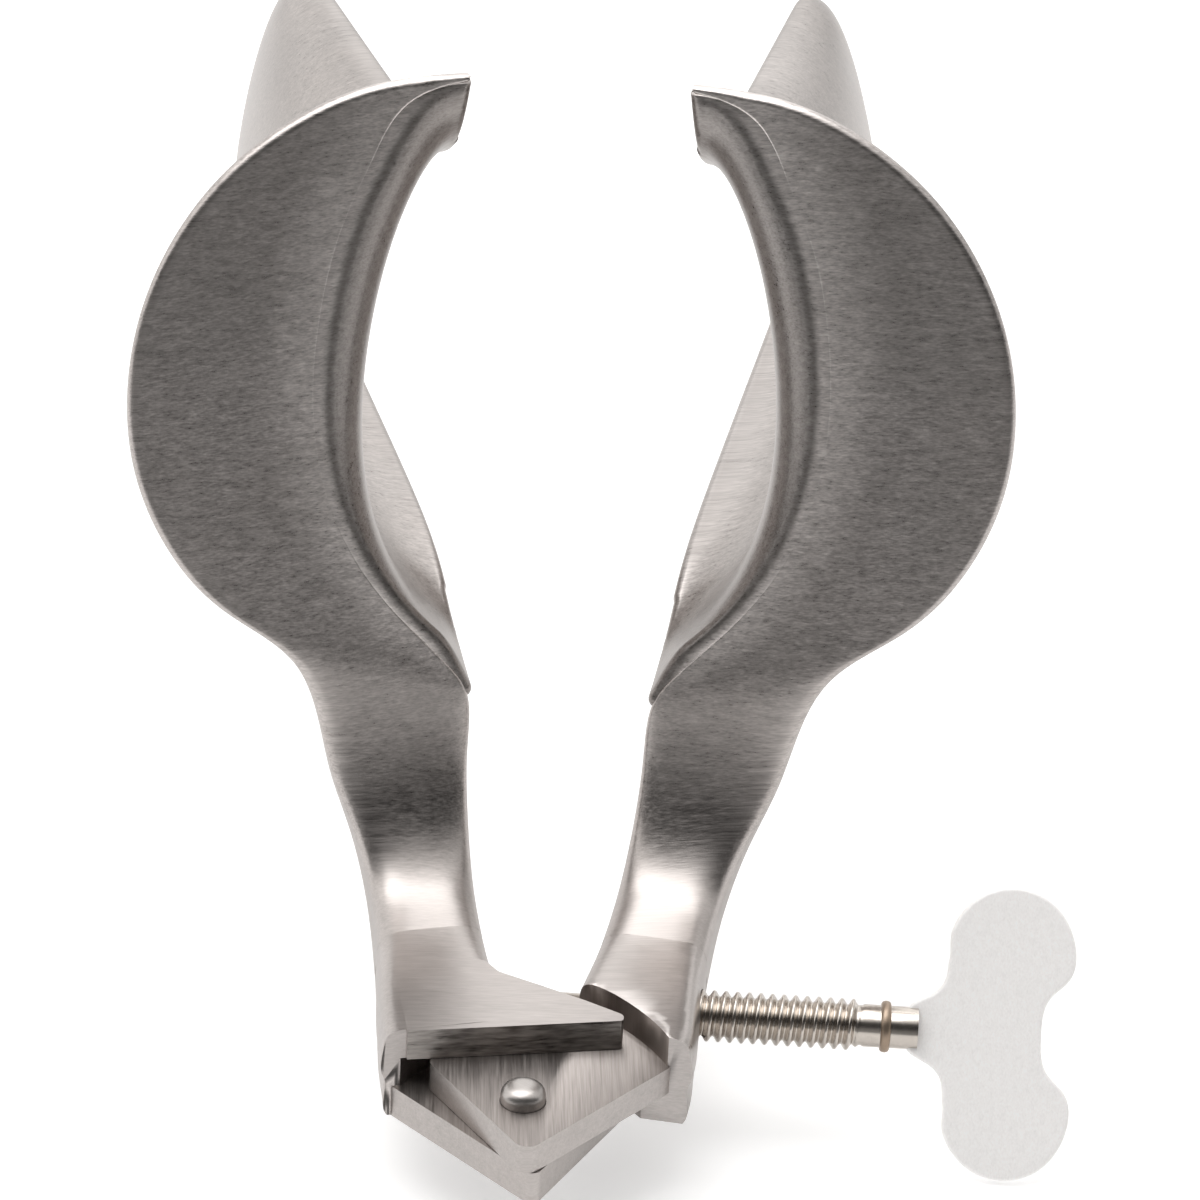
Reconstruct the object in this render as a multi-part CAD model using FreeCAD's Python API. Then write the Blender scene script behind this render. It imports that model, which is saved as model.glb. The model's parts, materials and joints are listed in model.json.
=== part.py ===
import FreeCAD, Part
import math
import os

# Side-screw bivalve speculum. Millimetres. The hinge pin is the Z axis, Y runs away from the user along the
# blades, and Z = 0 is the flat underside of the hinge end. Each valve is drawn closed and then turned open.

V = FreeCAD.Vector
Z_AXIS = V(0, 0, 1)

# Overall
open_half_angle = 12.0          # each valve's turn from closed, degrees
split_x = 3.29                  # the plane where the closed rims meet, right of the pin
base_to_tongue = 4.45           # underside to the middle of the tongue

# Blades
blade_tip_y = 132.6
mouth_y = 49.0
blade_mid_z = 45.0
blade_depth = 13.7              # greatest distance of a blade's wall from the split plane
rim_top_z = 68.7
rim_low_z = 30.0
rim_gap = 0.55                  # rim to split plane
blade_thickness = 1.5

# Flanges
flange_radius = 28.9
flange_centre_x = 2.9
flange_centre_z = 50.75
flange_y = 38.3
flange_lean = 0.14              # leans away from the user going up
flange_dish = 0.033             # comes towards the user going out
flange_thickness = 1.7
crease_gap = 0.85                # inner end of the flange's crease to the split plane
crease_width = 12.9
crease_height = 25.2
crease_centre_z = 50.25

# Hinge end
tongue_thickness = 2.7
layer_gap = 0.05
end_height = 4.4                # above the middle of the tongue
pocket_radius = 12.6
shoulder_radius = 21.9
shoulder_centre = (-6.78, -3.62)
pin_radius = 2.0
pin_clearance = 0.06
pin_stand = 1.75                # pin above the tongue
pin_dome_radius = 3.2

# Thumbscrew
screw_major_radius = 2.36
screw_minor_radius = 1.82
thread_pitch = 1.058
screw_clearance = 0.07
screw_y = 17.01
screw_face_x = 16.05
screw_droop = 4.5              # axis below square to the split plane, valves open, degrees
thread_outside = 14.9           # thread showing outside the boss
point_radius = 1.35
point_length = 10.0
tip_x = -2.3
neck_radius = 1.98
neck_length = 2.1
wing_height = 26.6
wing_lobe_radius = 5.7
wing_waist = 3.05
wing_thickness = 1.35
wing_lean = 32.0                # from upright, top away from the user, degrees


def flange_mid(x, z):
    return flange_y + flange_lean * (z - 24.0) - flange_dish * (x - 12.0)


def blade_point(phi, y):
    """Middle of the blade wall: phi runs round the trough from its lower rim, -90, to its upper rim, 90."""
    s = math.sin(math.radians(phi))
    c = max(math.cos(math.radians(phi)), 0.0)
    flare = math.exp(-(y - mouth_y) / 6.0)
    top = rim_top_z - 0.065 * (y - mouth_y) + 4.0 * flare
    low = rim_low_z + 0.012 * (y - mouth_y) - 2.6 * flare
    tau = max((y - 112.0) / (blade_tip_y + 0.4 - 112.0), 0.0)
    taper = math.sqrt(max(1.0 - tau ** 2.2, 0.0))
    up = (top - blade_mid_z) * taper
    down = (blade_mid_z - low) * taper
    z = blade_mid_z + 0.5 * (up + down) * s + 0.5 * (up - down) * s * s
    run = max((y - 60.0) / (blade_tip_y + 0.5 - 60.0), 0.0)
    depth = blade_depth * (1.0 - run ** 2.48) ** 0.8 - 3.1 * math.exp(-(y - mouth_y) / 8.8)
    power = 1.0 + (0.37 - 0.13 * s) * math.exp(-(y - mouth_y) / 8.0)
    return V(rim_gap + depth * c ** power, y, z)


def crease_point(phi):
    s = math.sin(math.radians(phi))
    c = max(math.cos(math.radians(phi)), 0.0)
    x = crease_gap + crease_width * c ** (1.27 - 0.42 * s)
    z = crease_centre_z + crease_height * s
    return V(x, flange_mid(x, z), z)


def outer_point(phi):
    a = math.radians(phi * 95.5 / 90.0)
    radius = flange_radius - 0.9 * math.exp(-((phi + 44.0) / 17.0) ** 2)
    x = flange_centre_x + radius * math.cos(a)
    z = flange_centre_z + radius * math.sin(a)
    return V(x, flange_mid(x, z), z)


def wall_line(phi):
    """One line down the valve, from the blade's tip through the lip to the flange's edge."""
    line = []
    blade_steps = 12
    for i in range(blade_steps):
        f = i / (blade_steps - 1.0)
        y = blade_tip_y - 0.35 - (blade_tip_y - 0.35 - mouth_y) * math.sin(f * math.pi / 2.0) ** 1.6
        line.append(blade_point(phi, y))
    b = blade_point(phi, mouth_y)
    ahead = blade_point(phi, mouth_y + 0.5)
    slope = (b - ahead) * 2.0
    c = crease_point(phi)
    reach = mouth_y - c.y
    k = b + slope * reach * 0.9
    lip_steps = 6
    for i in range(1, lip_steps + 1):
        t = i / float(lip_steps)
        line.append(b * (1 - t) ** 2 + k * 2 * t * (1 - t) + c * t * t)
    d = outer_point(phi)
    for i in range(1, 4):
        f = i / 3.0
        x = c.x + (d.x - c.x) * f
        z = c.z + (d.z - c.z) * f
        line.append(V(x, flange_mid(x, z), z))
    return line


def offset_grids(grid, blade_t, flange_t):
    """Two grids half a thickness either side of the middle one, along its own normals."""
    rows = len(grid)
    cols = len(grid[0])
    near = []
    far = []
    for i in range(rows):
        row_near = []
        row_far = []
        for j in range(cols):
            du = grid[min(i + 1, rows - 1)][j] - grid[max(i - 1, 0)][j]
            dv = grid[i][min(j + 1, cols - 1)] - grid[i][max(j - 1, 0)]
            n = du.cross(dv)
            n.normalize()
            f = min(max((j - 11.0) / 7.0, 0.0), 1.0)
            half = 0.5 * (blade_t + (flange_t - blade_t) * f)
            row_near.append(grid[i][j] + n * half)
            row_far.append(grid[i][j] - n * half)
        near.append(row_near)
        far.append(row_far)
    return near, far


def surface(grid):
    """Clamped cubic surface drawn towards a grid of points, so that it can't ripple between them."""
    rows = len(grid)
    cols = len(grid[0])
    u_knots = list(range(rows - 2))
    v_knots = list(range(cols - 2))
    u_mults = [4] + [1] * (rows - 4) + [4]
    v_mults = [4] + [1] * (cols - 4) + [4]
    s = Part.BSplineSurface()
    s.buildFromPolesMultsKnots(grid, u_mults, v_mults, u_knots, v_knots, False, False, 3, 3)
    return s


def skin_solid(near, far):
    """Solid between two grids of points, closed by ruled strips round its four edges."""
    a = surface(near)
    b = surface(far)
    u0, u1, v0, v1 = a.bounds()
    p0, p1, q0, q1 = b.bounds()
    faces = [a.toShape(), b.toShape()]
    pairs = [(a.uIso(u0), b.uIso(p0)), (a.uIso(u1), b.uIso(p1))]
    pairs += [(a.vIso(v0), b.vIso(q0)), (a.vIso(v1), b.vIso(q1))]
    for first, second in pairs:
        faces.append(Part.makeRuledSurface(first.toShape(), second.toShape()))
    shell = Part.makeShell(faces)
    shell.sewShape()
    solid = Part.Solid(Part.Shell(shell.Faces))
    if solid.Volume < 0:
        solid.reverse()
    return solid


def valve_sheet():
    grid = []
    phi_steps = 21
    for i in range(phi_steps):
        f = -1.0 + 2.0 * i / (phi_steps - 1.0)
        phi = 90.0 * (0.72 * f + 0.28 * math.sin(f * math.pi / 2.0))
        grid.append(wall_line(phi))
    near, far = offset_grids(grid, blade_thickness, flange_thickness)
    return skin_solid(near, far)


# Arm, from the hinge up: y and height of its front face, thickness, inner and outer edge from the split plane,
# how far both arms are set over to the left of that plane, tilt from level, and how square the section is.
arm_stations = [
    (8.6, 4.40, 9.4, 0.33, 12.1, 1.95, 0.0, 7.0),
    (13.5, 4.40, 9.4, 0.30, 11.65, 1.80, 0.0, 7.0),
    (19.0, 4.42, 9.4, 0.30, 10.9, 1.60, 2.0, 6.0),
    (24.5, 4.90, 8.00, 0.25, 10.2, 1.25, 12.0, 4.4),
    (29.5, 6.90, 6.60, 0.30, 10.1, 0.90, 33.0, 3.6),
    (33.4, 10.70, 5.00, 0.40, 11.3, 0.55, 55.0, 3.6),
    (35.8, 15.50, 3.60, 0.45, 13.3, 0.30, 70.0, 3.6),
    (37.05, 20.50, 2.40, 0.50, 15.2, 0.15, 80.0, 3.6),
    (37.85, 25.50, 1.45, 0.60, 17.0, 0.0, 84.0, 3.6),
    (38.50, 30.00, 1.10, 3.00, 19.0, 0.0, 84.0, 3.6),
]


def arm_ring(station, side):
    y, z, thick, inner, outer, sway, tilt, square = station
    a = math.radians(tilt)
    back = V(0, math.sin(a), -math.cos(a))
    mid_x = 0.5 * (inner + outer) - side * sway
    half_x = 0.5 * (outer - inner)
    points = []
    for k in range(28):
        t = 2.0 * math.pi * k / 28.0
        c = math.cos(t)
        s = math.sin(t)
        px = mid_x + half_x * math.copysign(abs(c) ** (2.0 / square), c)
        depth = 0.5 * thick * (1.0 + math.copysign(abs(s) ** (2.0 / square), s))
        points.append(V(px, y, z) + back * depth)
    curve = Part.BSplineCurve()
    curve.interpolate(Points=points, PeriodicFlag=True)
    return Part.Wire([curve.toShape()])


def valve_arm(side):
    """Curved arm; side is 1 for the right valve and -1 for the left."""
    return Part.makeLoft([arm_ring(s, side) for s in arm_stations], True, False)


def prism(points, low, high):
    outline = [V(x, y, low) for x, y in points]
    outline.append(outline[0])
    return Part.Face(Part.makePolygon(outline)).extrude(V(0, 0, high - low))


def rounded(points, radii, low, high):
    """Upright prism with its plan corners rounded."""
    n = len(points)
    corners = []
    for i in range(n):
        p = V(points[i][0], points[i][1], low)
        a = V(points[i - 1][0], points[i - 1][1], low)
        b = V(points[(i + 1) % n][0], points[(i + 1) % n][1], low)
        r = radii[i]
        if r <= 0:
            corners.append((p, p, None))
            continue
        ta = (a - p).normalize()
        tb = (b - p).normalize()
        half = 0.5 * ta.getAngle(tb)
        cut = r / math.tan(half)
        bis = (ta + tb).normalize()
        mid = p + bis * (r / math.sin(half) - r)
        corners.append((p + ta * cut, p + tb * cut, mid))
    edges = []
    for i in range(n):
        first, last, mid = corners[i]
        if mid is not None:
            edges.append(Part.Arc(first, mid, last).toShape())
        following = corners[(i + 1) % n][0]
        if (following - last).Length > 1e-6:
            edges.append(Part.makeLine(last, following))
    wire = Part.Wire(Part.__sortEdges__(edges))
    return Part.Face(wire).extrude(V(0, 0, high - low))


def to_split(shape, mirrored):
    """From distances off the split plane to the closed frame, on the right or mirrored to the left."""
    out = shape.copy()
    if mirrored:
        out = out.mirror(V(0, 0, 0), V(1, 0, 0))
    out.translate(V(split_x, 0, 0))
    return out


def pole(radius, low, high, centre=(0.0, 0.0)):
    return Part.makeCylinder(radius, high - low, V(centre[0], centre[1], low), Z_AXIS)


half_tongue = 0.5 * tongue_thickness
slot = half_tongue + layer_gap
low_z = -base_to_tongue
high_z = end_height

sheet = valve_sheet()
under = Part.makeBox(80, 60, 20, V(-40, 0, low_z - 20))
right_body = sheet.fuse(valve_arm(1).cut(under))
left_body = sheet.fuse(valve_arm(-1).cut(under))

# Right valve: the tongue between the left valve's two plates, shoulders that clear them, and the screw boss.
right = to_split(right_body, False)
right = right.cut(pole(shoulder_radius, half_tongue, 30.0, shoulder_centre))
right = right.cut(pole(pocket_radius, -30.0, -half_tongue))
tongue_plan = [(1.77, -7.91), (11.52, 8.27), (12.64, 11.53), (11.74, 19.57)]
tongue_plan += [(2.0, 19.94), (1.87, 16.34), (1.35, 11.96), (-9.83, 4.67)]
tongue = rounded(tongue_plan, [1.3, 2.5, 0, 0, 0, 0.6, 1.2, 1.0], -half_tongue, half_tongue)
right = right.fuse(tongue)
turn = math.radians(open_half_angle - screw_droop)
screw_dir = V(math.cos(turn), math.sin(turn), 0)
face_open = V(screw_face_x, screw_y, 0)
to_closed = FreeCAD.Rotation(Z_AXIS, open_half_angle)
screw_face = to_closed.multVec(face_open)
boss = Part.makeCone(4.4, 2.95, 6.6, screw_face - screw_dir * 6.6, screw_dir)
right = right.fuse(boss)
bore = Part.makeCylinder(screw_major_radius + screw_clearance, 40.0, screw_face - screw_dir * 20.0, screw_dir)
right = right.cut(bore)
right = right.cut(pole(pin_radius + pin_clearance, -10, 10))
right.rotate(V(0, 0, 0), Z_AXIS, -open_half_angle)

# Left valve: upper plate with a straight front, lower plate that carries the pin, and the web behind them.
left = to_split(left_body, True)
left = left.cut(pole(pocket_radius, -slot, slot))
web_edge = prism([(0.35, -8.02), (1.26, 16.2), (31, 16.2), (31, -8.02)], -slot, slot)
left = left.cut(web_edge)
front_edge = prism([(-29.64, 10.07), (30.21, 4.97), (30, -20), (-30, -20)], slot, 30)
left = left.cut(front_edge)
tab_plan = [(-8.69, 8.28), (10.56, 6.65), (10.89, 7.57), (7.96, 10.68)]
tab_plan += [(4.53, 13.91), (1.42, 16.8), (0.6, 19.0), (-5.6, 20.0), (-8.2, 14.0)]
tab = rounded(tab_plan, [0, 0.35, 0.8, 3.0, 0, 1.4, 0, 0, 0], slot, high_z - 0.02)
tine_plan = [(-0.7, -7.88), (10.79, 4.8), (1.05, 11.97), (1.36, 18.96)]
tine_plan += [(-8.28, 19.33), (-9.7, 13.37), (-10.08, 8.69)]
tine = rounded(tine_plan, [0.9, 1.0, 1.0, 0, 0, 0, 1.5], low_z, -slot)
left = left.fuse(tab)
left = left.fuse(tine)
left = left.cut(pole(pin_radius, -10, 10))
left.rotate(V(0, 0, 0), Z_AXIS, open_half_angle)

# Hinge pin: riveted flush into the lower plate, domed on top.
pin_low = low_z + 0.15
pin_top = half_tongue + pin_stand
pin = pole(pin_radius, pin_low, pin_top)
pin = pin.common(Part.makeSphere(pin_dome_radius, V(0, 0, pin_top - pin_dome_radius)))
pin = pin.fuse(pole(pin_radius, pin_low, half_tongue))
pin = pin.removeSplitter()

# Thumbscrew, drawn along +X from its boss face and then placed.
tip_length = screw_face_x - tip_x
r0 = screw_minor_radius
shank_profile = [(-tip_length, 0), (-tip_length + 0.15, 0.75), (-tip_length + 0.75, point_radius)]
shank_profile += [(-tip_length + point_length, point_radius), (-tip_length + point_length + 0.45, r0)]
shank_profile += [(thread_outside, r0), (thread_outside + 0.2, neck_radius)]
shank_profile += [(thread_outside + neck_length + 3.2, neck_radius), (thread_outside + neck_length + 3.2, 0)]
outline = [V(x, 0, r) for x, r in shank_profile]
outline.append(outline[0])
shank = Part.Face(Part.makePolygon(outline)).revolve(V(0, 0, 0), V(1, 0, 0), 360)
threaded = thread_outside + tip_length - point_length - 1.5
helix = Part.makeHelix(thread_pitch, threaded, r0)
half_root = 0.46 * thread_pitch
crest = screw_major_radius
ridge = [V(r0 - 0.12, 0, -half_root), V(crest, 0, -0.07), V(crest, 0, 0.07), V(r0 - 0.12, 0, half_root)]
ridge.append(ridge[0])
thread = Part.Wire(helix.Edges).makePipeShell([Part.makePolygon(ridge)], True, True)
thread.rotate(V(0, 0, 0), V(0, 1, 0), 90)
thread.translate(V(thread_outside - threaded - 0.25, 0, 0))
shank = shank.fuse(thread)

lobe_z = wing_height / 2.0 - wing_lobe_radius
wing_x = thread_outside + neck_length + 11.4


def wing_outline():
    """Half the outline from the neck round the upper lobe to the waist, and its mirror image below."""
    half = [(-9.6, 0.9), (-9.0, 2.1), (-7.0, 3.3), (-5.9, 4.6), (-5.65, 6.4)]
    for a in range(190, 10, -20):
        t = math.radians(a)
        half.append((wing_lobe_radius * math.cos(t), lobe_z + wing_lobe_radius * math.sin(t)))
    half += [(5.3, lobe_z - 2.6), (3.75, 3.4), (wing_waist, 0.0)]
    return half


upper = wing_outline()
lower = [(x, -z) for x, z in reversed(upper[:-1])]
ring = [V(x + wing_x, -0.5 * wing_thickness, z) for x, z in upper + lower]
edge = Part.BSplineCurve()
edge.interpolate(Points=ring)
closing = Part.makeLine(ring[-1], ring[0])
wing = Part.Face(Part.Wire([edge.toShape(), closing])).extrude(V(0, wing_thickness, 0))
shank_end = thread_outside + neck_length + 3.2
wing = wing.cut(Part.makeCylinder(neck_radius, 60, V(shank_end - 60, 0, 0), V(1, 0, 0)))
collar_x = thread_outside + neck_length - 0.2
collar = Part.makeCone(neck_radius + 0.45, neck_radius + 0.2, 0.9, V(collar_x, 0, 0), V(1, 0, 0))
collar = collar.cut(Part.makeCylinder(neck_radius, 5, V(collar_x - 1, 0, 0), V(1, 0, 0)))
wing = wing.cut(Part.makeCylinder(neck_radius + 0.5, collar_x + 0.9, V(0, 0, 0), V(1, 0, 0)))


def place_screw(shape):
    out = shape.copy()
    out.rotate(V(0, 0, 0), V(1, 0, 0), -wing_lean)
    out.rotate(V(0, 0, 0), Z_AXIS, -screw_droop)
    out.translate(face_open)
    return out


nodes = {
    "left_valve": left,
    "right_valve": right,
    "hinge_pin": pin,
    "screw_shank": place_screw(shank),
    "wing_plate": place_screw(wing),
    "braze_ring": place_screw(collar),
}

os.makedirs("parts", exist_ok=True)
for name, shape in nodes.items():
    solid = shape.Solids[0].copy()
    solid.translate(V(0, 0, base_to_tongue))
    print(name, len(shape.Solids), solid.isValid(), round(solid.Volume, 1))
    solid.exportStep("parts/" + name + ".step")
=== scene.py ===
import json
import math

import bmesh
import bpy
import numpy as np
from mathutils import Matrix, Vector


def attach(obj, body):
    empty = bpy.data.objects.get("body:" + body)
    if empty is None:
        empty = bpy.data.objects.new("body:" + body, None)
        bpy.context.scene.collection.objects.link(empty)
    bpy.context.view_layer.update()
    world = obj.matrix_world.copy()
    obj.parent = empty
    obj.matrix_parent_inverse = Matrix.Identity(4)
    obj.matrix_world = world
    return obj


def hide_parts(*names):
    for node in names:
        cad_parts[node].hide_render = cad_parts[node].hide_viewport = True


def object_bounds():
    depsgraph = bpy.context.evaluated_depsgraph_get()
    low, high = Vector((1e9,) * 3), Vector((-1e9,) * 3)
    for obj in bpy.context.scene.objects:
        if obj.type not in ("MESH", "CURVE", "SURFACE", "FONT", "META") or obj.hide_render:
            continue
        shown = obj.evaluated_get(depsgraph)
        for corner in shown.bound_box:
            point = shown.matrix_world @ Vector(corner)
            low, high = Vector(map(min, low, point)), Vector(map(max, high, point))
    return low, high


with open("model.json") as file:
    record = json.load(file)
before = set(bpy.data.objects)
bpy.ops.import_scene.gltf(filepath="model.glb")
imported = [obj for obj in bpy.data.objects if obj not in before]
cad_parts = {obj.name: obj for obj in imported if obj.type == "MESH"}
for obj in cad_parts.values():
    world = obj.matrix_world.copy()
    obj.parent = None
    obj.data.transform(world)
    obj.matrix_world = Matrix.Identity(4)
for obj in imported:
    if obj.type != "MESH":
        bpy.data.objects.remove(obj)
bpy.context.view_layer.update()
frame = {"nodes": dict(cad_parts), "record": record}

# Side-screw bivalve speculum in satin stainless steel. Shape values are in millimetres, heights from the middle of
# the hinge tongue, and each valve is drawn closed as distances from the split plane, then turned open.

MM = 0.001

joints = {j["name"]: j for j in frame["record"]["behaviour"]["joints"]}
pivot = joints["valve_pivot"]
open_half_angle = -0.5 * pivot["range_deg"][0]
tongue_mid = pivot["pos_m"][2] / MM
screw_turn = joints["screw_turn"]

split_x = 3.29
# Blade
tip_y, mouth_y, blade_mid_z = 132.4, 49.0, 45.0
blade_depth, rim_top_z, rim_low_z, rim_gap = 13.7, 68.7, 30.0, 0.55
sheet_half = 0.75
# Flange and crease
flange_radius, flange_centre_x, flange_centre_z = 28.9, 2.9, 50.75
flange_y, flange_lean, flange_dish, flange_thickness = 38.3, 0.14, 0.033, 1.7
crease_width, crease_centre_z, crease_height, crease_gap = 12.9, 50.25, 25.2, 0.85
lip_set_out = 0.2
# Arm, from just above the hinge: y and height of its front face, thickness, inner and outer edge from the split
# plane, how far both arms are set over to the left of that plane, tilt from level, and squareness of the section
arm_stations = [
    (24.5, 4.90, 8.00, 0.25, 10.2, 1.25, 12.0, 4.4),
    (29.5, 6.90, 6.60, 0.30, 10.1, 0.90, 33.0, 3.6),
    (33.4, 10.70, 5.00, 0.40, 11.3, 0.55, 55.0, 3.6),
    (35.8, 15.50, 3.60, 0.45, 13.3, 0.30, 70.0, 3.6),
]
# Thumbscrew, along its axis from the boss face
major_radius, minor_radius, pitch = 2.36, 1.82, 1.058
thread_outside, tip_length, point_length, point_radius = 14.9, 18.35, 10.0, 1.35
neck_radius, neck_length, wing_lean = 1.98, 2.1, 32.0
wing_height, lobe_radius, wing_waist, wing_thickness = 26.6, 5.7, 3.05, 1.35
pin_radius, pin_stand, half_tongue = 2.0, 1.75, 1.35


# ---------------------------------------------------------------- shapes

def opening(side):
    """Angle in radians that turns a valve from closed to the opening shown."""
    return math.radians(-side * open_half_angle)


def in_valve(points, side):
    """Closed valve coordinates to row metres: mirrored for the left, set off the split plane, turned open."""
    points = np.asarray(points, float)
    x = split_x + side * points[..., 0]
    y = points[..., 1]
    a = opening(side)
    opened = np.stack([x * math.cos(a) - y * math.sin(a), x * math.sin(a) + y * math.cos(a),
                       points[..., 2] + tongue_mid], axis=-1)
    return opened * MM


def cubic_through(values, count, along=None):
    """Natural cubic spline through rows of values, read at count equal steps. The knots are the chord lengths of the
    first columns (all of them if along isn't given)."""
    values = np.asarray(values, float)
    n = len(values)
    steps = np.linalg.norm(np.diff(values[:, :along], axis=0), axis=1)
    knots = np.concatenate([[0.0], np.cumsum(steps)])
    system = np.eye(n)
    right = np.zeros_like(values)
    inner = np.arange(1, n - 1)
    system[inner, inner - 1] = steps[:-1]
    system[inner, inner] = 2.0 * (steps[:-1] + steps[1:])
    system[inner, inner + 1] = steps[1:]
    slopes = np.diff(values, axis=0) / steps[:, None]
    right[1:-1] = 6.0 * np.diff(slopes, axis=0)
    bend = np.linalg.solve(system, right)
    at = np.linspace(0.0, knots[-1], count)
    k = np.clip(np.searchsorted(knots, at, side="right") - 1, 0, n - 2)
    h = steps[k][:, None]
    t = (at - knots[k])[:, None] / h
    u = 1.0 - t
    curve = u * values[k] + t * values[k + 1]
    return curve + ((u ** 3 - u) * bend[k] + (t ** 3 - t) * bend[k + 1]) * h * h / 6.0


def placed(name, data):
    """A new object of a mesh, lamp or camera, linked to the scene."""
    thing = bpy.data.objects.new(name, data)
    bpy.context.scene.collection.objects.link(thing)
    return thing


def unit(v):
    return v / np.maximum(np.linalg.norm(v, axis=-1, keepdims=True), 1e-9)


def loops_mesh(name, loops, sharp=40.0, way=None):
    """Closed mesh from a stack of closed loops (rows of points): quads between neighbours and a cap at each end.
    The attribute crease_way holds each point's distance in mm from the crease, positive on the flange."""
    rows, around = loops.shape[:2]
    i, j = np.meshgrid(np.arange(rows - 1), np.arange(around), indexing="ij")
    k = (j + 1) % around
    quads = np.stack([i * around + j, i * around + k, (i + 1) * around + k, (i + 1) * around + j], -1).reshape(-1, 4)
    caps = [list(range(around))[::-1], list(range((rows - 1) * around, rows * around))]
    mesh = bpy.data.meshes.new(name)
    mesh.from_pydata(loops.reshape(-1, 3).tolist(), [], quads.tolist() + caps)
    if way is not None:
        mesh.attributes.new("crease_way", "FLOAT", "POINT").data.foreach_set("value", way.ravel().astype(np.float32))
    return settle(name, mesh, sharp)


def settle(name, mesh, sharp):
    """Merges doubles, points the faces outwards, shades smooth with sharp edges past an angle, makes the object."""
    work = bmesh.new()
    work.from_mesh(mesh)
    bmesh.ops.remove_doubles(work, verts=work.verts, dist=1e-6)
    bmesh.ops.recalc_face_normals(work, faces=work.faces)
    work.to_mesh(mesh)
    work.free()
    mesh.polygons.foreach_set("use_smooth", [True] * len(mesh.polygons))
    mesh.set_sharp_from_angle(angle=math.radians(sharp))
    return placed(name, mesh)


def flange_mid(x, z):
    return flange_y + flange_lean * (z - 24.0) - flange_dish * (x - 12.0)


def crease_curve(phi):
    """Crease between lip and flange: a flattened half ellipse, drawn up to a point at its top end."""
    s = np.sin(phi)
    c = np.maximum(np.cos(phi), 0.0)
    x = crease_gap + crease_width * c ** (1.27 - 0.42 * s)
    z = crease_centre_z + crease_height * s + 3.2 * np.clip((s - 0.8) / 0.2, 0.0, 1.0) ** 2
    z = z - 3.0 * np.clip((-s - 0.9) / 0.1, 0.0, 1.0) ** 2
    return np.stack([x, flange_mid(x, z), z], -1)


def rim_curve(angle):
    """Outer edge of the flange: an arc of a circle, flattened a little low down."""
    radius = flange_radius - 0.9 * np.exp(-((angle + np.radians(46.7)) / np.radians(18.0)) ** 2)
    x = flange_centre_x + radius * np.cos(angle)
    z = flange_centre_z + radius * np.sin(angle)
    return np.stack([x, flange_mid(x, z), z], -1)


def rim_beside(f):
    """The flange's outer edge beside a point of the crease, f from its lower end (0) to its upper end (1)."""
    return rim_curve(np.radians(-60.0 + 155.0 * np.maximum(f, 0.0) ** 0.97))


def flange_and_arm(name, side):
    """Arm and flange as one ribbon: sections between an inner and an outer rail, a superellipse in the arm turning
    into a plate with round edges in the flange."""
    # Columns: inner rail (3), outer rail (3), direction away from the front face (3), thickness, how far the section
    # is a plate, squareness, and the inner rail's distance from the crease
    rows = []
    for y, z, thick, inner, outer, sway, tilt, square in arm_stations:
        a = math.radians(tilt)
        rows.append([inner - side * sway, y, z, outer - side * sway, y, z,
                     0.0, math.sin(a), -math.cos(a), thick, 0.0, square, 20.0])
    back = unit(np.array([flange_dish, 1.0, -flange_lean]))
    steps = 11
    for k in range(steps):
        f = k / (steps - 1.0)
        inner, outer = crease_curve(math.pi * (f - 0.5)), rim_beside(f)
        under = min(1.2 * min(f * 6.0, 1.0), 0.3 * np.linalg.norm(outer - inner))
        inner = inner + unit(outer - inner) * under
        thick = 2.5 + (flange_thickness - 2.5) * min(f * 4.0, 1.0)
        plate = min(0.45 + 2.2 * f, 1.0)
        rows.append([*(inner - back * thick / 2), *(outer - back * thick / 2), *back, thick, plate, 3.6,
                     under + 8.0 * max(1.0 - f * 9.0, 0.0)])
    rail = cubic_through(rows, 200, along=6)
    a, b, away = rail[:, 0:3], rail[:, 3:6], unit(rail[:, 6:9])
    thick, plate, square, from_crease = (rail[:, k:k + 1] for k in range(9, 13))
    plate = np.clip(plate, 0.0, 1.0)
    t = np.linspace(0.0, 2.0 * math.pi, 112, endpoint=False)[None, :]
    c, s = np.cos(t), np.sin(t)
    reach = np.sign(c) * np.abs(c) ** ((1.0 - plate) * 2.0 / square + plate)
    half_width = np.linalg.norm(b - a, axis=1)[:, None] / 2.0
    ellipse = np.maximum(1.0 - np.abs(reach) ** square, 0.0) ** (1.0 / square)
    radius = np.minimum(np.where(reach < 0.0, 0.22, 0.48) * thick, half_width)
    corner = np.clip((np.abs(reach) * half_width - (half_width - radius)) / radius, 0.0, 1.0)
    round_edge = 1.0 - (radius / (thick / 2.0)) * (1.0 - np.sqrt(np.maximum(1.0 - corner ** 2, 0.0)))
    height = (1.0 - plate) * ellipse + plate * round_edge
    depth = 0.5 * thick * (1.0 + np.sign(s) * height)
    mid, half = (a + b) / 2.0, (b - a) / 2.0
    loops = mid[:, None] + half[:, None] * reach[..., None] + away[:, None] * depth[..., None]
    end = loops[-1].mean(0)
    onward = unit(end - loops[-2].mean(0))
    cap = [end + (loops[-1] - end) * math.cos(q) + onward * 0.25 * math.sin(q) for q in (0.45, 0.85, 1.15, 1.4)]
    way = from_crease + (1.0 + reach) * half_width
    way = np.concatenate([way, np.repeat(way[-1:], len(cap), 0)])
    return loops_mesh(name, in_valve(np.concatenate([loops, cap]), side), way=way)


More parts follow.
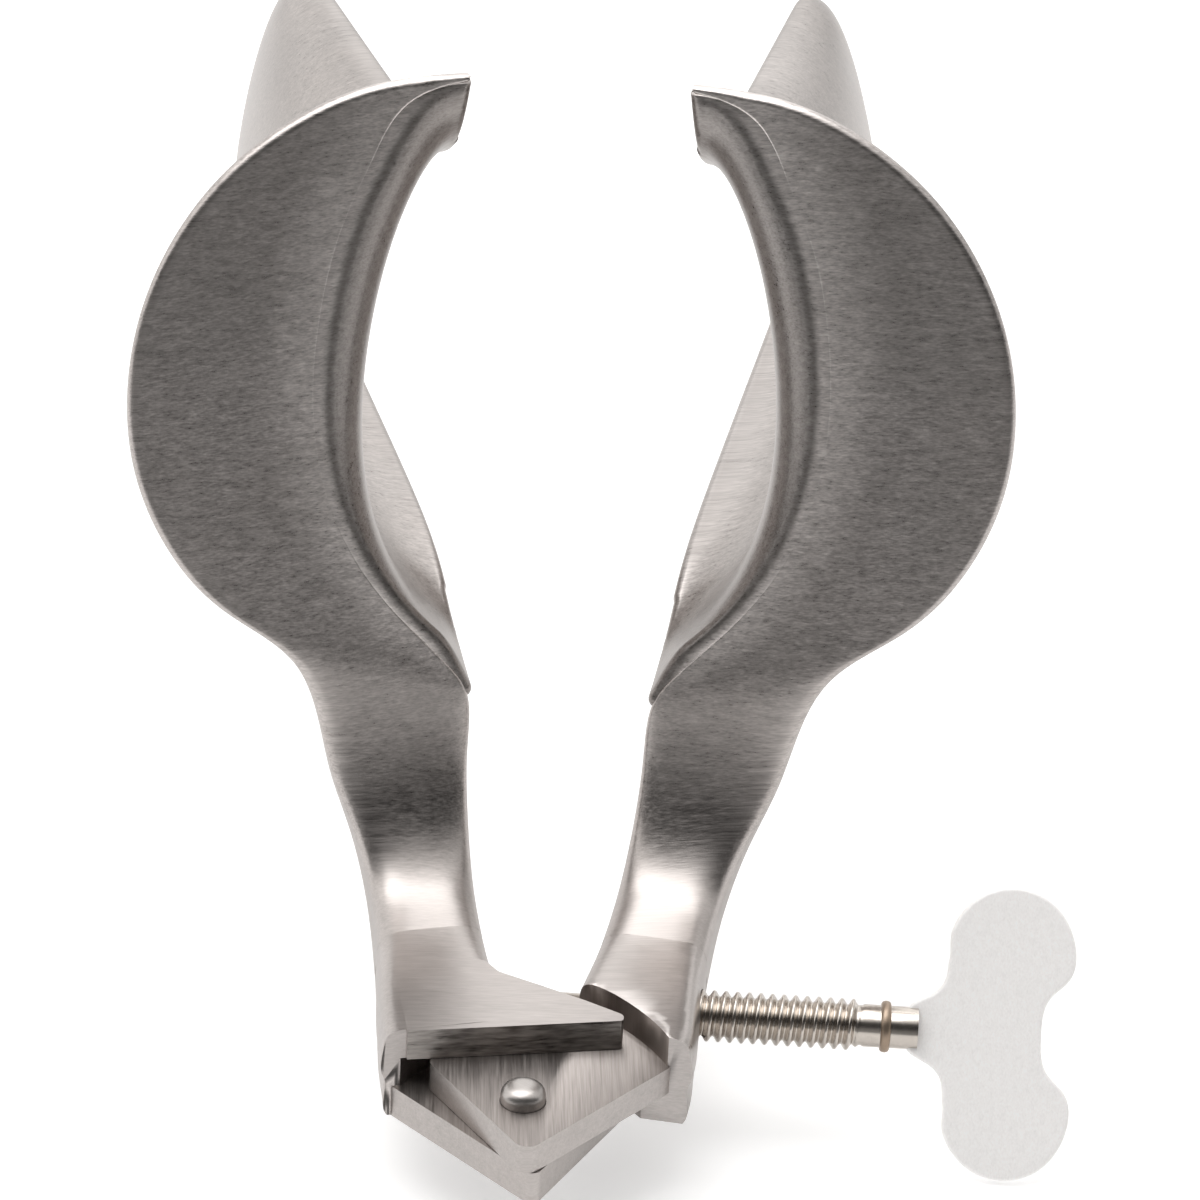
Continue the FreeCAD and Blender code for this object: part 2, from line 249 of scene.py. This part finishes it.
def blade_wall(phi, y):
    """Middle of the blade's wall at an angle round the trough and a distance along it: a rounded trough that
    narrows to the tip and flares towards the mouth."""
    s = np.sin(phi)
    c = np.maximum(np.cos(phi), 0.0)
    flare = np.exp(-(y - mouth_y) / 6.0)
    top = rim_top_z - 0.065 * (y - mouth_y) + 4.0 * flare
    low = rim_low_z + 0.012 * (y - mouth_y) - 2.6 * flare
    taper = np.sqrt(np.maximum(1.0 - np.maximum((y - 112.0) / (tip_y + 0.4 - 112.0), 0.0) ** 2.2, 0.0))
    up = (top - blade_mid_z) * taper
    down = (blade_mid_z - low) * taper
    z = blade_mid_z + 0.5 * (up + down) * s + 0.5 * (up - down) * s * s
    run = np.maximum((y - 60.0) / (tip_y + 0.5 - 60.0), 0.0)
    depth = blade_depth * (1.0 - run ** 2.48) ** 0.8 - 3.1 * np.exp(-(y - mouth_y) / 8.8)
    power = 1.0 + (0.37 - 0.13 * s) * np.exp(-(y - mouth_y) / 8.0)
    x = rim_gap + sheet_half + np.maximum(depth - sheet_half, 0.0) * c ** power
    return np.stack(np.broadcast_arrays(x, y, z), -1)


def lip_and_blade(name, side):
    """Lip and blade as one sheet: a flat strip on the flange, a bend at the crease, a quadratic curve that rolls in
    to the mouth, then the trough to the tip. Its wall has round rims, and is a little fuller along the lip. Near
    the split plane the lip is set out by an amount that falls off exponentially away from the plane."""
    flat_rows, bend_rows, lip_rows, blade_rows, rim_points = 6, 9, 39, 120, 7
    f = np.linspace(-1.0, 1.0, 84)
    phi = (math.pi / 2.0 * (0.72 * f + 0.28 * np.sin(f * math.pi / 2.0)))[None, :]
    along = np.linspace(0.0, 1.0, blade_rows)[:, None]
    y = mouth_y + (tip_y - mouth_y) * np.sin(along * math.pi / 2.0) ** 1.25
    blade = blade_wall(phi, y)
    mouth = blade_wall(phi, np.full((1, 1), mouth_y))
    slope = (mouth - blade_wall(phi, np.full((1, 1), mouth_y + 0.5))) * 2.0
    crease = crease_curve(phi)
    reach = (mouth_y - crease[..., 1])[..., None]
    knee = mouth + slope * reach * 0.9
    outward = rim_beside(phi / math.pi + 0.5) - crease
    strip = np.minimum(3.0, 0.45 * np.linalg.norm(outward, axis=-1, keepdims=True))
    start = crease + unit(outward) * strip
    turn_from = crease + unit(outward) * strip * 0.3
    t = np.linspace(0.05, 1.0, lip_rows + 1)[:-1, None, None]
    lip = crease * (1.0 - t) ** 2 + knee * 2.0 * t * (1.0 - t) + mouth * t ** 2
    t = np.linspace(0.0, 1.0, flat_rows + 1)[:-1, None, None]
    flat = start * (1.0 - t) + turn_from * t
    t = np.linspace(0.0, 1.0, bend_rows + 1)[:-1, None, None]
    bend = turn_from * (1.0 - t) ** 2 + crease * 2.0 * t * (1.0 - t) + lip[:1] * t ** 2
    sheet = np.concatenate([flat, bend, lip, blade], 0)
    rolled = sheet[:flat_rows + bend_rows + lip_rows, :, 0]
    rolled += lip_set_out * np.exp(-(rolled - crease_gap) / 1.5)
    down_line = np.gradient(sheet, axis=0)
    across = np.gradient(sheet, axis=1)
    normal = unit(np.cross(across, down_line))
    lift = np.concatenate([np.linspace(0.0, 1.0, lip_rows), np.ones(blade_rows)])
    half = np.concatenate([np.linspace(0.68, 0.86, flat_rows), np.full(bend_rows, 0.87),
                           sheet_half + 0.12 * (1.0 - lift) ** 2])
    half = half[:, None, None]
    steps = np.linalg.norm(np.diff(sheet, axis=0), axis=-1)
    way = np.concatenate([np.zeros((1, steps.shape[1])), -np.cumsum(steps, 0)])
    crease_row = flat_rows + bend_rows // 2 + 1
    way = way - way[crease_row]
    turn = np.linspace(0.0, math.pi, rim_points + 2)[1:-1][None, :, None]
    first, last = unit(across[:, :1]), unit(across[:, -1:])
    top_edge = sheet[:, -1:] + half * (last * np.sin(turn) + normal[:, -1:] * np.cos(turn))
    low_edge = sheet[:, :1] + half * (-first * np.sin(turn) - normal[:, :1] * np.cos(turn))
    loops = np.concatenate([sheet + normal * half, top_edge, (sheet - normal * half)[:, ::-1], low_edge], 1)
    rims = np.ones((1, rim_points))
    way = np.concatenate([way, way[:, -1:] * rims, way[:, ::-1], way[:, :1] * rims], 1)
    return loops_mesh(name, in_valve(loops, side), sharp=60.0, way=way)


def face_finish(normal, height):
    """Which hinge finish a face takes: 0 sides and underside, 1 top of the upper plate, 2 filed or turned wall that
    faces forward above the tongue (on the right valve much darker, painted shade with stain), 3 top of the tongue and
    other lower level faces."""
    if normal.z > 0.95:
        return 1 if height > half_tongue + 1.0 else 3
    return 2 if abs(normal.z) < 0.3 and normal.y < -0.3 and height > half_tongue else 0


def hinge_end(name, node, side):
    """The machined hinge end of a valve: its frame solid cut off square to the arm, with fine broken edges."""
    y, z, tilt = arm_stations[0][0], arm_stations[0][1], math.radians(arm_stations[0][6])
    mesh = frame["nodes"][node].data.copy()
    place = in_valve([0.0, y, z], side)
    a = opening(side)
    normal = Vector((-math.sin(a) * math.cos(tilt), math.cos(a) * math.cos(tilt), math.sin(tilt)))
    work = bmesh.new()
    work.from_mesh(mesh)
    bmesh.ops.remove_doubles(work, verts=work.verts, dist=2e-6)
    everything = work.verts[:] + work.edges[:] + work.faces[:]
    cut = bmesh.ops.bisect_plane(work, geom=everything, plane_co=Vector(place), plane_no=normal, clear_outer=True)
    rim = [e for e in cut["geom_cut"] if isinstance(e, bmesh.types.BMEdge)]
    bmesh.ops.holes_fill(work, edges=rim, sides=0)
    bmesh.ops.dissolve_limit(work, angle_limit=math.radians(0.6), verts=work.verts, edges=work.edges)
    work.to_mesh(mesh)
    work.free()
    finishes = [face_finish(face.normal, face.center.z / MM - tongue_mid) for face in mesh.polygons]
    mesh.polygons.foreach_set("material_index", finishes)
    mesh.polygons.foreach_set("use_smooth", [True] * len(mesh.polygons))
    mesh.set_sharp_from_angle(angle=math.radians(24.0))
    piece = placed(name, mesh)
    edge = piece.modifiers.new("broken_edges", "BEVEL")
    edge.width = 0.14 * MM
    edge.segments = 2
    edge.limit_method = "ANGLE"
    edge.angle_limit = math.radians(35.0)
    edge.harden_normals = True
    return piece


def turned(profile, around, centre, axis, spin_from):
    """Round piece: a profile of (distance along, radius) turned about an axis, as loops of points."""
    along, radius = np.asarray(profile, float).T
    t = np.linspace(0.0, 2.0 * math.pi, around, endpoint=False)
    side_way = np.cross(axis, spin_from)
    ring = np.cos(t)[:, None] * spin_from + np.sin(t)[:, None] * side_way
    return (centre + along[:, None, None] * axis + radius[:, None, None] * ring[None]) * MM


def hinge_pin():
    """Pin with a low dome and a rolled edge; the radius follows a quarter superellipse over the dome."""
    low = 0.15 - tongue_mid
    top = half_tongue + pin_stand
    t = np.linspace(0.0, math.pi / 2.0, 16)
    dome = [(top - 1.15 + 1.15 * math.sin(a) ** 0.95, pin_radius * math.cos(a) ** 0.62) for a in t[:-1]]
    profile = [(low, pin_radius - 0.2), (low + 0.2, pin_radius)] + dome + [(top, 0.02)]
    centre = np.array([0.0, 0.0, tongue_mid])
    loops = turned(profile, 72, centre, np.array([0.0, 0.0, 1.0]), np.array([1.0, 0.0, 0.0]))
    return loops_mesh("domed_pin", loops)


# Thumbscrew: its place on the boss, its axis outwards, the plate's height and the plate's thickness
screw_face = np.array(screw_turn["pos_m"]) / MM
screw_out = -unit(np.array(screw_turn["axis"], float))
lean = math.radians(wing_lean)
level = unit(np.cross([0.0, 0.0, 1.0], screw_out))
screw_up = np.array([0.0, 0.0, 1.0]) * math.cos(lean) + level * math.sin(lean)
screw_thick = np.cross(screw_up, screw_out)


def screw_rod():
    """Threaded rod: the radius follows a rounded saw of one turn per pitch, fading out at both ends of the thread,
    with a plain point and a plain neck."""
    start = -tip_length + point_length + 0.6
    per_pitch = 14
    thread = np.arange(start, thread_outside + 0.001, pitch / per_pitch)
    point = np.array([-tip_length, -tip_length + 0.1, -tip_length + 0.35, -tip_length + 0.75, start - 0.4])
    neck = np.array([thread_outside + 0.15, thread_outside + 0.4, thread_outside + neck_length + 3.2])
    along = np.concatenate([point, thread, neck])[:, None]
    t = np.linspace(0.0, 2.0 * math.pi, 72, endpoint=False)[None, :]
    phase = (along / pitch - t / (2.0 * math.pi)) % 1.0
    flank = np.abs(phase - 0.5) * 2.0
    tooth = np.clip((0.93 - flank) / 0.78, 0.0, 1.0)
    tooth = tooth * tooth * (3.0 - 2.0 * tooth) * 0.45 + tooth * 0.55
    fade = np.clip((along - start) / (0.8 * pitch), 0.0, 1.0) * np.clip((thread_outside - along) / (0.5 * pitch), 0, 1)
    radius = minor_radius + (major_radius - minor_radius) * tooth * fade
    radius[:5] = np.array([0.55, 0.8, 1.1, point_radius, point_radius])[:, None]
    radius[-3:] = np.array([minor_radius, neck_radius - 0.03, neck_radius - 0.05])[:, None]
    ring = np.cos(t)[..., None] * screw_up + np.sin(t)[..., None] * screw_thick
    loops = screw_face + along[..., None] * screw_out + radius[..., None] * ring
    return loops_mesh("threaded_rod", loops * MM, sharp=75.0)


def wing_outline():
    """Outline of the thumb plate: neck, upper lobe as an arc, waist, and the same below, as a smooth curve."""
    lobe = wing_height / 2.0 - lobe_radius
    half = [(-9.6, 0.9), (-9.0, 2.1), (-7.0, 3.3), (-5.9, 4.6), (-5.65, 6.4)]
    for a in range(190, 10, -20):
        t = math.radians(a)
        half.append((lobe_radius * math.cos(t), lobe + lobe_radius * math.sin(t)))
    half += [(5.3, lobe - 2.6), (3.75, 3.4), (wing_waist, 0.0)]
    whole = half + [(x, -z) for x, z in reversed(half[:-1])]
    return cubic_through(whole, 260)


def wing_plate():
    """Flat plate with rounded edges: its outline at rising heights, drawn in along its own normals near the faces."""
    outline = wing_outline()
    outline = np.concatenate([outline, np.linspace(outline[-1], outline[0], 12)[1:-1]])
    tangent = np.roll(outline, -1, 0) - np.roll(outline, 1, 0)
    inward = unit(np.stack([tangent[:, 1], -tangent[:, 0]], -1))
    half, r = wing_thickness / 2.0, 0.34
    t = np.linspace(0.0, math.pi / 2.0, 6)
    inset = np.concatenate([[2.0 * r, 1.35 * r], r * (1.0 - np.sin(t))])
    height = np.concatenate([[half, half], half - r + r * np.cos(t)])
    inset = np.concatenate([inset, inset[::-1]])[:, None, None]
    height = np.concatenate([height, -height[::-1]])[:, None]
    flat = outline[None] + inward[None] * inset
    x = flat[..., 0] + thread_outside + neck_length + 11.4
    loops = screw_face + x[..., None] * screw_out + flat[..., 1][..., None] * screw_up
    loops = loops + height[..., None] * screw_thick
    return loops_mesh("thumb_plate", loops * MM, sharp=50.0)


def braze_ring():
    """Fillet of filler round the neck: a ring with a hollow cone outside and the neck's bore inside."""
    at = thread_outside + neck_length - 0.2
    t = np.linspace(0.0, math.pi, 12)
    outer = [(at + 0.45 - 0.45 * math.cos(a), neck_radius + 0.02 + 0.36 * math.sin(a) ** 0.8) for a in t]
    profile = [(at, neck_radius - 0.04)] + outer + [(at + 0.9, neck_radius - 0.04)]
    return loops_mesh("filler_ring", turned(profile, 60, screw_face, screw_out, screw_up))


# ---------------------------------------------------------------- materials

def group(name, outputs, inputs):
    """A shader node group with named sockets, given as (name, kind, default)."""
    tree = bpy.data.node_groups.new(name, "ShaderNodeTree")
    for label, kind, default in inputs:
        socket = tree.interface.new_socket(label, in_out="INPUT", socket_type=kind)
        if default is not None:
            socket.default_value = default
    for label, kind in outputs:
        tree.interface.new_socket(label, in_out="OUTPUT", socket_type=kind)
    enter = tree.nodes.new("NodeGroupInput")
    leave = tree.nodes.new("NodeGroupOutput")
    return tree, enter, leave


def add(tree, kind, links=(), **values):
    """Adds a node, sets its properties and plugs (input, socket) pairs."""
    node = tree.nodes.new(kind)
    for key, value in values.items():
        setattr(node, key, value)
    for key, value in links:
        if isinstance(value, bpy.types.NodeSocket):
            tree.links.new(value, node.inputs[key])
        else:
            node.inputs[key].default_value = value
    return node


def maths(tree, operation, a, b):
    return add(tree, "ShaderNodeMath", [(0, a), (1, b)], operation=operation).outputs[0]


def smooth_range(tree, value, low, high, out_low, out_high):
    """A value mapped by a smooth step from low and high to out_low and out_high."""
    return add(tree, "ShaderNodeMapRange", [("Value", value), ("From Min", low), ("From Max", high),
                                            ("To Min", out_low), ("To Max", out_high)],
               interpolation_type="SMOOTHSTEP").outputs[0]


def brushed_group():
    """Brushing: fine scratches drawn out along one direction, in two scales, with a slow cloudiness over them."""
    tree, enter, leave = group(
        "brushed_steel",
        [("Color", "NodeSocketColor"), ("Roughness", "NodeSocketFloat"), ("Height", "NodeSocketFloat")],
        [("Vector", "NodeSocketVector", None), ("Steel", "NodeSocketColor", (0.5, 0.48, 0.46, 1)),
         ("Fine", "NodeSocketFloat", 1.0), ("Gloss", "NodeSocketFloat", 0.3), ("Stain", "NodeSocketFloat", 0.3),
         ("Shade", "NodeSocketFloat", 1.0)])
    place, steel = enter.outputs["Vector"], enter.outputs["Steel"]

    def scratches(stretch, scale, detail):
        mapping = add(tree, "ShaderNodeMapping", [("Vector", place), ("Scale", stretch)])
        return add(tree, "ShaderNodeTexNoise", [("Vector", mapping.outputs[0]), ("Scale", scale), ("Detail", detail),
                                                ("Roughness", 0.62)]).outputs["Fac"]

    fine = scratches((0.03, 1.0, 1.0), 6500.0, 2.0)
    broad = scratches((0.05, 1.0, 1.0), 1900.0, 2.0)
    cloud = scratches((0.5, 1.0, 1.0), 90.0, 3.0)
    patch = scratches((1.0, 1.0, 1.0), 38.0, 2.0)
    both = maths(tree, "ADD", maths(tree, "MULTIPLY", fine, 0.6), maths(tree, "MULTIPLY", broad, 0.4))
    shade = maths(tree, "MULTIPLY", maths(tree, "SUBTRACT", both, 0.5), enter.outputs["Fine"])
    tone = maths(tree, "ADD", maths(tree, "MULTIPLY", shade, 1.5),
                 maths(tree, "MULTIPLY", maths(tree, "SUBTRACT", cloud, 0.5), enter.outputs["Stain"]))
    # Shade scales the colour; where it is wired it brings in the painted light and shade along the crease
    bright = maths(tree, "MULTIPLY", maths(tree, "ADD", 1.0, tone), enter.outputs["Shade"])
    scaled = add(tree, "ShaderNodeVectorMath", [(0, steel), ("Scale", bright)], operation="SCALE")
    warm = add(tree, "ShaderNodeMix", [(0, maths(tree, "MULTIPLY", patch, enter.outputs["Stain"])),
                                       (6, scaled.outputs[0]), (7, (0.40, 0.345, 0.31, 1))], data_type="RGBA")
    tree.links.new(warm.outputs[2], leave.inputs["Color"])
    rough = maths(tree, "ADD", enter.outputs["Gloss"], maths(tree, "MULTIPLY", tone, 0.22))
    tree.links.new(rough, leave.inputs["Roughness"])
    tree.links.new(maths(tree, "MULTIPLY", both, enter.outputs["Fine"]), leave.inputs["Height"])
    return tree


def crease_shade(tree):
    """Painted light and shade by the crease: a painted highlight towards the crease where the flange is dished, a
    painted shadow along the crease itself, and painted shade over the lip.
    """
    way = add(tree, "ShaderNodeAttribute", attribute_name="crease_way").outputs["Fac"]

    def ramp(*limits):
        return smooth_range(tree, way, *limits)

    # painted highlight on the dished flange, painted shadow at the crease, painted shade on the lip beyond it
    painted_dish_light = maths(tree, "MULTIPLY", ramp(0.6, 9.0, 0.75, 0.0), ramp(0.0, 0.9, 0.0, 1.0))
    painted_crease_shadow = maths(tree, "MULTIPLY", ramp(-1.1, -0.1, 0.0, 0.42), ramp(-0.1, 0.55, 1.0, 0.0))
    lip = maths(tree, "MULTIPLY", ramp(-1.0, -0.5, 1.0, 0.0), ramp(-9.0, -4.0, 0.1, 0.3))
    return maths(tree, "SUBTRACT", maths(tree, "SUBTRACT", maths(tree, "ADD", 1.0, painted_dish_light), painted_crease_shadow), lip)


def steel(name, colour, gloss, fine, stain, turn, bump, metal=1.0, painted_crease_shading=False, calm_low=False,
          grain=(1.0, 1.0, 1.0)):
    """A steel finish: brushing turned by angles in degrees, over a metallic shader. It can take painted light and
    shade along the crease, and the brushing can be calmer low down near the hinge."""
    material = bpy.data.materials.new(name)
    material.use_nodes = True
    tree = material.node_tree
    shader = tree.nodes["Principled BSDF"]
    where = add(tree, "ShaderNodeTexCoord").outputs["Object"]
    turned_way = add(tree, "ShaderNodeMapping", [("Vector", where), ("Rotation", [math.radians(a) for a in turn]),
                                                 ("Scale", grain)])
    brushing = tree.nodes.new("ShaderNodeGroup")
    brushing.node_tree = brushed
    tree.links.new(turned_way.outputs[0], brushing.inputs["Vector"])
    brushing.inputs["Steel"].default_value = (*colour, 1.0)
    brushing.inputs["Gloss"].default_value = gloss
    if calm_low:
        height = add(tree, "ShaderNodeSeparateXYZ", [(0, where)]).outputs[2]
        calm = smooth_range(tree, height, 0.010, 0.018, 0.4 * fine, fine)
        tree.links.new(calm, brushing.inputs["Fine"])
    brushing.inputs["Fine"].default_value = fine
    brushing.inputs["Stain"].default_value = stain
    if painted_crease_shading:
        tree.links.new(crease_shade(tree), brushing.inputs["Shade"])
    tree.links.new(brushing.outputs["Color"], shader.inputs["Base Color"])
    tree.links.new(brushing.outputs["Roughness"], shader.inputs["Roughness"])
    relief = add(tree, "ShaderNodeBump", [("Height", brushing.outputs["Height"]), ("Strength", bump),
                                          ("Distance", 0.00002)])
    tree.links.new(relief.outputs[0], shader.inputs["Normal"])
    shader.inputs["Metallic"].default_value = metal
    return material


brushed = brushed_group()
satin = ((0.485, 0.457, 0.443), 0.34, 1.35, 0.3, (0.0, 4.0, 0.0), 0.6)
# the valve steel takes painted light and shade along the crease
valve_steel = steel("satin_valve_steel", *satin, painted_crease_shading=True, calm_low=True)
arm_steel = steel("satin_arm_steel", *satin, calm_low=True)
tongue_steel = steel("scratched_tongue_steel", (0.33, 0.305, 0.293), 0.45, 1.3, 0.4, (0.0, 0.0, 90.0), 0.6)
filed_steel = steel("filed_front_steel", (0.33, 0.31, 0.295), 0.40, 2.8, 0.3, (0.0, 0.0, 0.0), 1.0,
                    grain=(0.4, 0.5, 0.5))
# the right valve's shoulder wall: much darker steel, painted shade in the recess, over heavy stain
shade_painted_shoulder_steel = steel("dark_stained_shoulder_steel_painted_shade", (0.17, 0.148, 0.14), 0.45, 1.2, 0.9, (0.0, 90.0, 0.0), 0.5)
pin_steel = steel("worn_pin_steel", (0.50, 0.48, 0.465), 0.35, 0.4, 0.35, (0.0, 0.0, 40.0), 0.3)
screw_steel = steel("bright_screw_steel", (0.62, 0.58, 0.53), 0.2, 0.35, 0.5, (0.0, 0.0, 90.0), 0.2)
wing_steel = steel("fine_satin_wing_steel", (0.98, 0.965, 0.955), 0.45, 0.25, 0.0, (0.0, 90.0, 0.0), 0.3,
                   metal=0.06)
filler = steel("dull_filler", (0.36, 0.25, 0.15), 0.42, 0.3, 0.9, (0.0, 0.0, 0.0), 0.3)


# ---------------------------------------------------------------- pieces

def dress(piece, materials, body, slot, *nodes):
    finishes = [face.material_index for face in piece.data.polygons]
    piece.data.materials.clear()
    for material in materials:
        piece.data.materials.append(material)
    piece.data.polygons.foreach_set("material_index", finishes)
    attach(piece, body)
    if nodes:
        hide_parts(*nodes)
    return piece


for side, word, body in ((-1, "left", "left_half"), (1, "right", "right_half")):
    node = word + "_valve"
    dress(flange_and_arm(word + "_flange_and_arm", side), [valve_steel], body, "valve_steel", node)
    dress(lip_and_blade(word + "_lip_and_blade", side), [valve_steel], body, "valve_steel", node)
    # the third finish is the forward wall above the tongue: filed steel on the left, painted shade on the right
    finishes = [arm_steel, arm_steel, filed_steel if side < 0 else shade_painted_shoulder_steel, tongue_steel]
    dress(hinge_end(word + "_hinge_end", node, side), finishes, body, "valve_steel", node)

dress(hinge_pin(), [pin_steel], "left_half", "pin_steel", "hinge_pin")
dress(screw_rod(), [screw_steel], "thumbscrew", "screw_steel", "screw_shank")
dress(wing_plate(), [wing_steel], "thumbscrew", "wing_steel", "wing_plate")
dress(braze_ring(), [filler], "screw_slide", "braze", "braze_ring")


# ---------------------------------------------------------------- stage, light and camera

floor_half = 3.0
floor_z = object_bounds()[0][2] - 0.0001
floor_mesh = bpy.data.meshes.new("floor")
floor_mesh.from_pydata([(x * floor_half, y * floor_half, floor_z) for x, y in ((-1, -1), (1, -1), (1, 1), (-1, 1))],
                       [], [(0, 1, 2, 3)])
floor = placed("floor", floor_mesh)
pale = bpy.data.materials.new("pale_floor")
pale.use_nodes = True
pale_tree = pale.node_tree
pale_shader = pale_tree.nodes["Principled BSDF"]
pale_shader.inputs["Roughness"].default_value = 0.9
pale_shader.inputs["Specular IOR Level"].default_value = 0.1
ray = add(pale_tree, "ShaderNodeLightPath")
spread = add(pale_tree, "ShaderNodeSeparateXYZ", [(0, add(pale_tree, "ShaderNodeTexCoord").outputs["Object"])])
# In reflections the floor is dark in front of the hinge and a little lighter again far in front
falling = smooth_range(pale_tree, spread.outputs[1], -0.085, -0.03, 0.17, 0.95)
far_off = smooth_range(pale_tree, spread.outputs[1], -0.20, -0.45, 0.0, 0.07)
seen = maths(pale_tree, "ADD", falling, far_off)
pale_mix = add(pale_tree, "ShaderNodeMix", [(0, ray.outputs["Is Glossy Ray"]), (6, (0.80, 0.80, 0.80, 1)), (7, seen)],
               data_type="RGBA")
pale_tree.links.new(pale_mix.outputs[2], pale_shader.inputs["Base Color"])
pale_shader.inputs["Emission Color"].default_value = (1.0, 1.0, 1.0, 1.0)
glow = maths(pale_tree, "MULTIPLY", maths(pale_tree, "SUBTRACT", 1.0, ray.outputs["Is Glossy Ray"]), 0.40)
pale_tree.links.new(glow, pale_shader.inputs["Emission Strength"])
floor_mesh.materials.append(pale)

world = bpy.data.worlds.new("studio")
bpy.context.scene.world = world
world.use_nodes = True
sky = world.node_tree
background = sky.nodes["Background"]
direction = add(sky, "ShaderNodeTexCoord").outputs["Generated"]
towards = add(sky, "ShaderNodeSeparateXYZ", [(0, direction)])
# Brightness by angle over the top, from level at the front (0) by overhead (90) to level at the back (180)
over = add(sky, "ShaderNodeMath", [(0, towards.outputs[2]), (1, maths(sky, "MULTIPLY", towards.outputs[1], -1.0))],
           operation="ARCTAN2").outputs[0]
ramp = add(sky, "ShaderNodeValToRGB", [(0, maths(sky, "DIVIDE", over, math.pi))])
ramp.color_ramp.interpolation = "EASE"
stops = [(0.0, 0.20), (10.0, 0.18), (24.0, 0.04), (46.0, 0.04), (78.0, 1.1), (100.0, 1.0), (135.0, 0.8), (180.0, 0.9)]
while len(ramp.color_ramp.elements) < len(stops):
    ramp.color_ramp.elements.new(0.5)
for stop, (angle, value) in zip(ramp.color_ramp.elements, stops):
    stop.position = angle / 180.0
    stop.color = (value, value * 0.985, value * 0.97, 1.0)
aside = maths(sky, "MULTIPLY", towards.outputs[0], -0.35)
sky.links.new(ramp.outputs[0], background.inputs["Color"])
sky.links.new(maths(sky, "ADD", 1.15, aside), background.inputs["Strength"])


def softbox(name, place, target, width, depth, power):
    light = bpy.data.lights.new(name, "AREA")
    light.shape = "RECTANGLE"
    light.size, light.size_y = width, depth
    light.energy = power
    lamp = placed(name, light)
    lamp.location = place
    lamp.rotation_mode = "QUATERNION"
    lamp.rotation_quaternion = (Vector(target) - Vector(place)).to_track_quat("-Z", "Y")


softbox("overhead_softbox", (-0.10, 0.12, 0.75), (0.0, 0.03, 0.03), 0.80, 0.60, 3.2)
softbox("rear_softbox", (0.20, 0.75, 0.55), (0.0, 0.05, 0.03), 0.8, 0.6, 0.9)

# Viewing point and direction: 26.4 degrees above level, 2.7 degrees round to the left, leaning 2.5 degrees
eye = Vector((-11.17, -337.82, 218.70 + tongue_mid)) * MM
azimuth, elevation, roll = math.radians(2.707), math.radians(26.4415), math.radians(2.5443)
forward = Vector((math.sin(azimuth) * math.cos(elevation), math.cos(azimuth) * math.cos(elevation),
                  -math.sin(elevation)))
level_right = Vector((math.cos(azimuth), -math.sin(azimuth), 0.0))
level_up = level_right.cross(forward)
right = level_right * math.cos(roll) + level_up * math.sin(roll)
up = right.cross(forward)
camera_data = bpy.data.cameras.new("camera")
camera_data.lens = 136.8
camera_data.sensor_width = 36.0
camera_data.clip_start = 0.01
camera = placed("camera", camera_data)
camera.matrix_world = Matrix((
    (right.x, up.x, -forward.x, eye.x),
    (right.y, up.y, -forward.y, eye.y),
    (right.z, up.z, -forward.z, eye.z),
    (0.0, 0.0, 0.0, 1.0)))
bpy.context.scene.camera = camera
bpy.context.scene.view_settings.view_transform = "Standard"
